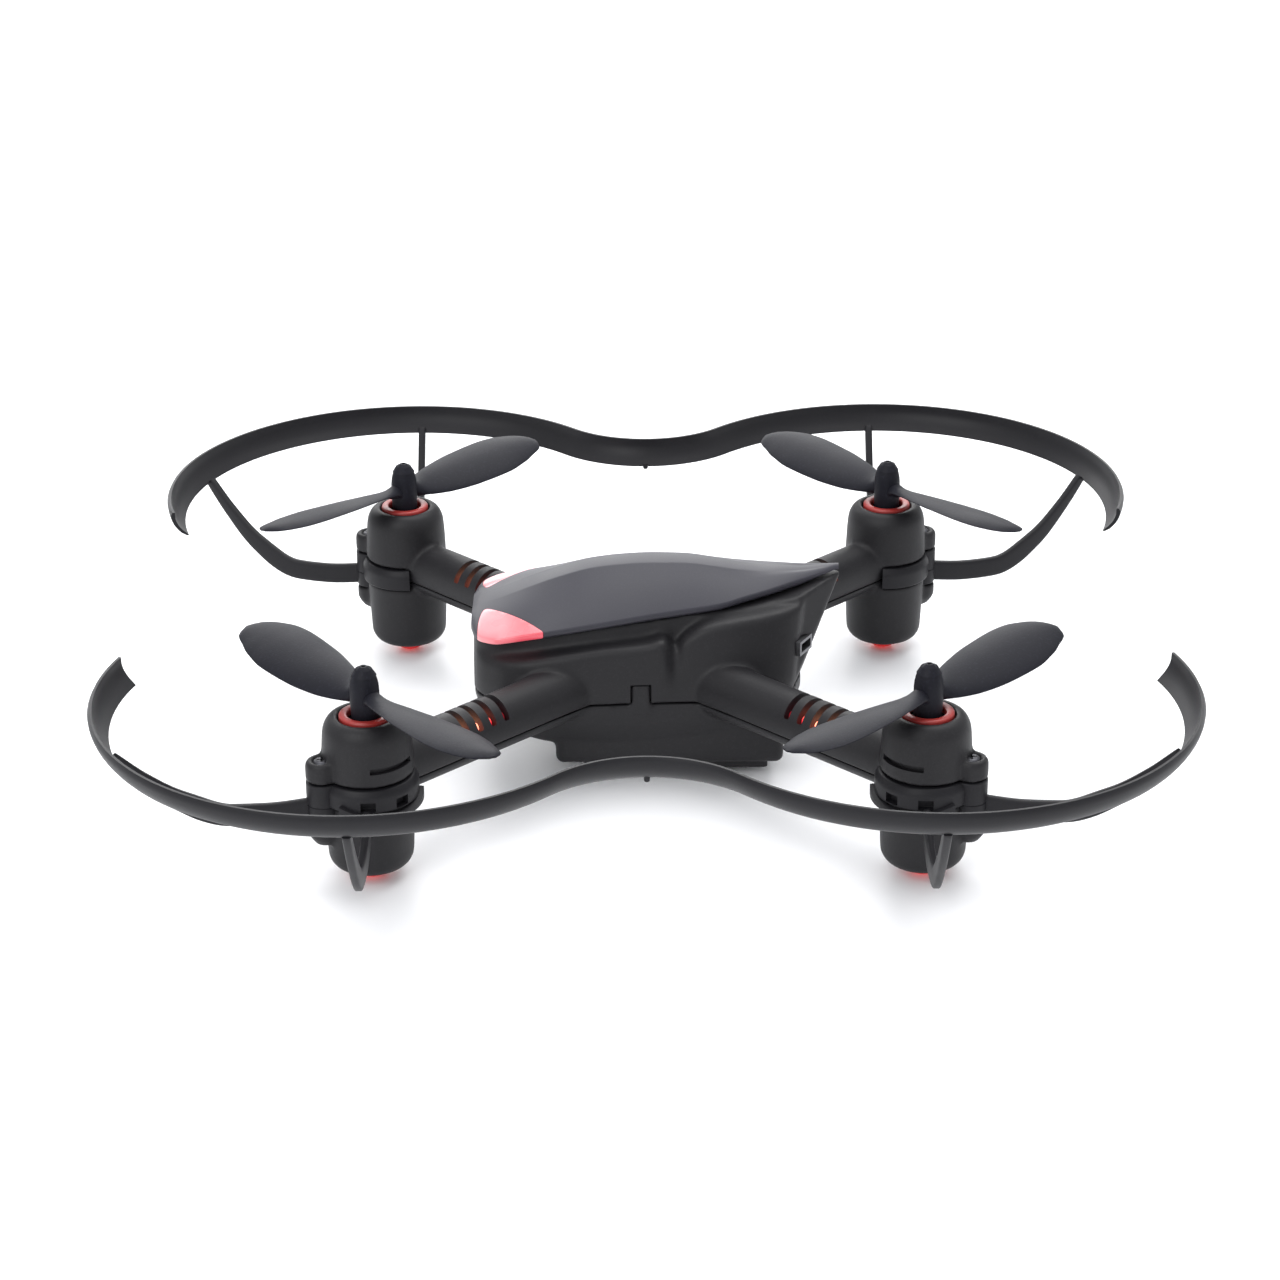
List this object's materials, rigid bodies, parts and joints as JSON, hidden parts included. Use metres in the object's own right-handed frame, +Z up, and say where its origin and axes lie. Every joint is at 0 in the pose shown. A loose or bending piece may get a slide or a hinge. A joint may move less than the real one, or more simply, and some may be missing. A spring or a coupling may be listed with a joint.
{
  "type": "quadcopter drone",
  "caption": "Palm-size guarded quadcopter with arched hull, eye-like front windows, wavy propeller guards and domed red feet.",
  "frame": {"origin": "on the ground under the middle of the four motors", "axes": "-X towards the nose, -Y towards the left side, +Z up"},
  "size_m": [0.203, 0.203, 0.0427],
  "materials": {
    "hull_plastic": "fine matte moulding, charcoal",
    "canopy_plastic": "satin moulding, slate grey",
    "guard_plastic": "satin moulding, charcoal",
    "blade_plastic": "matte moulding with a fine grain, dark grey",
    "eye_lens": "translucent, lit pink-red",
    "ring_plastic": "satin red",
    "foot_lens": "translucent red, lit",
    "steel": "plain",
    "motor_can": "plain drawn can",
    "circuit_board": "green solder mask",
    "battery_wrap": "blue film wrap",
    "button_rubber": "matte black"
  },
  "bodies": {
    "airframe": {"upper_hull": "hull_plastic", "lower_hull": "hull_plastic", "canopy": "canopy_plastic", "main_board": "circuit_board", "battery": "battery_wrap", "door_hinge_pin": "steel", "charge_socket": "steel", "hull_screw": "steel", "eye_window_left": "eye_lens", "eye_window_right": "eye_lens", "guard_left": "guard_plastic", "guard_right": "guard_plastic", "motor_front_left": "motor_can", "trim_ring_front_left": "ring_plastic", "foot_front_left": "foot_lens", "arm_light_front_left": "circuit_board", "guard_screw_front_left": "steel", "motor_front_right": "motor_can", "trim_ring_front_right": "ring_plastic", "foot_front_right": "foot_lens", "arm_light_front_right": "circuit_board", "guard_screw_front_right": "steel", "motor_rear_left": "motor_can", "trim_ring_rear_left": "ring_plastic", "foot_rear_left": "foot_lens", "arm_light_rear_left": "circuit_board", "guard_screw_rear_left": "steel", "motor_rear_right": "motor_can", "trim_ring_rear_right": "ring_plastic", "foot_rear_right": "foot_lens", "arm_light_rear_right": "circuit_board", "guard_screw_rear_right": "steel"},
    "battery_door": {"battery_door": "hull_plastic"},
    "power_button": {"power_button": "button_rubber"},
    "rotor_front_left": {"propeller_front_left": "blade_plastic", "motor_shaft_front_left": "steel"},
    "rotor_front_right": {"propeller_front_right": "blade_plastic", "motor_shaft_front_right": "steel"},
    "rotor_rear_left": {"propeller_rear_left": "blade_plastic", "motor_shaft_rear_left": "steel"},
    "rotor_rear_right": {"propeller_rear_right": "blade_plastic", "motor_shaft_rear_right": "steel"}
  },
  "joints": [
    {"name": "battery_door_hinge", "type": "hinge", "parent": "airframe", "child": "battery_door", "pos_m": [-0.0142, 0, 0.0055], "axis": [0, 1, 0], "range_deg": [0, 100]},
    {"name": "power_button_press", "type": "slide", "parent": "airframe", "child": "power_button", "axis": [0, 0, 1], "range_m": [0, 0.0006], "stiffness_N_per_m": 400},
    {"name": "rotor_front_left_spin", "type": "hinge", "parent": "airframe", "child": "rotor_front_left", "pos_m": [-0.0515, -0.0515, 0.03], "axis": [0, 0, 1], "continuous": true},
    {"name": "rotor_front_right_spin", "type": "hinge", "parent": "airframe", "child": "rotor_front_right", "pos_m": [-0.0515, 0.0515, 0.03], "axis": [0, 0, 1], "continuous": true},
    {"name": "rotor_rear_left_spin", "type": "hinge", "parent": "airframe", "child": "rotor_rear_left", "pos_m": [0.0515, -0.0515, 0.03], "axis": [0, 0, 1], "continuous": true},
    {"name": "rotor_rear_right_spin", "type": "hinge", "parent": "airframe", "child": "rotor_rear_right", "pos_m": [0.0515, 0.0515, 0.03], "axis": [0, 0, 1], "continuous": true}
  ]
}
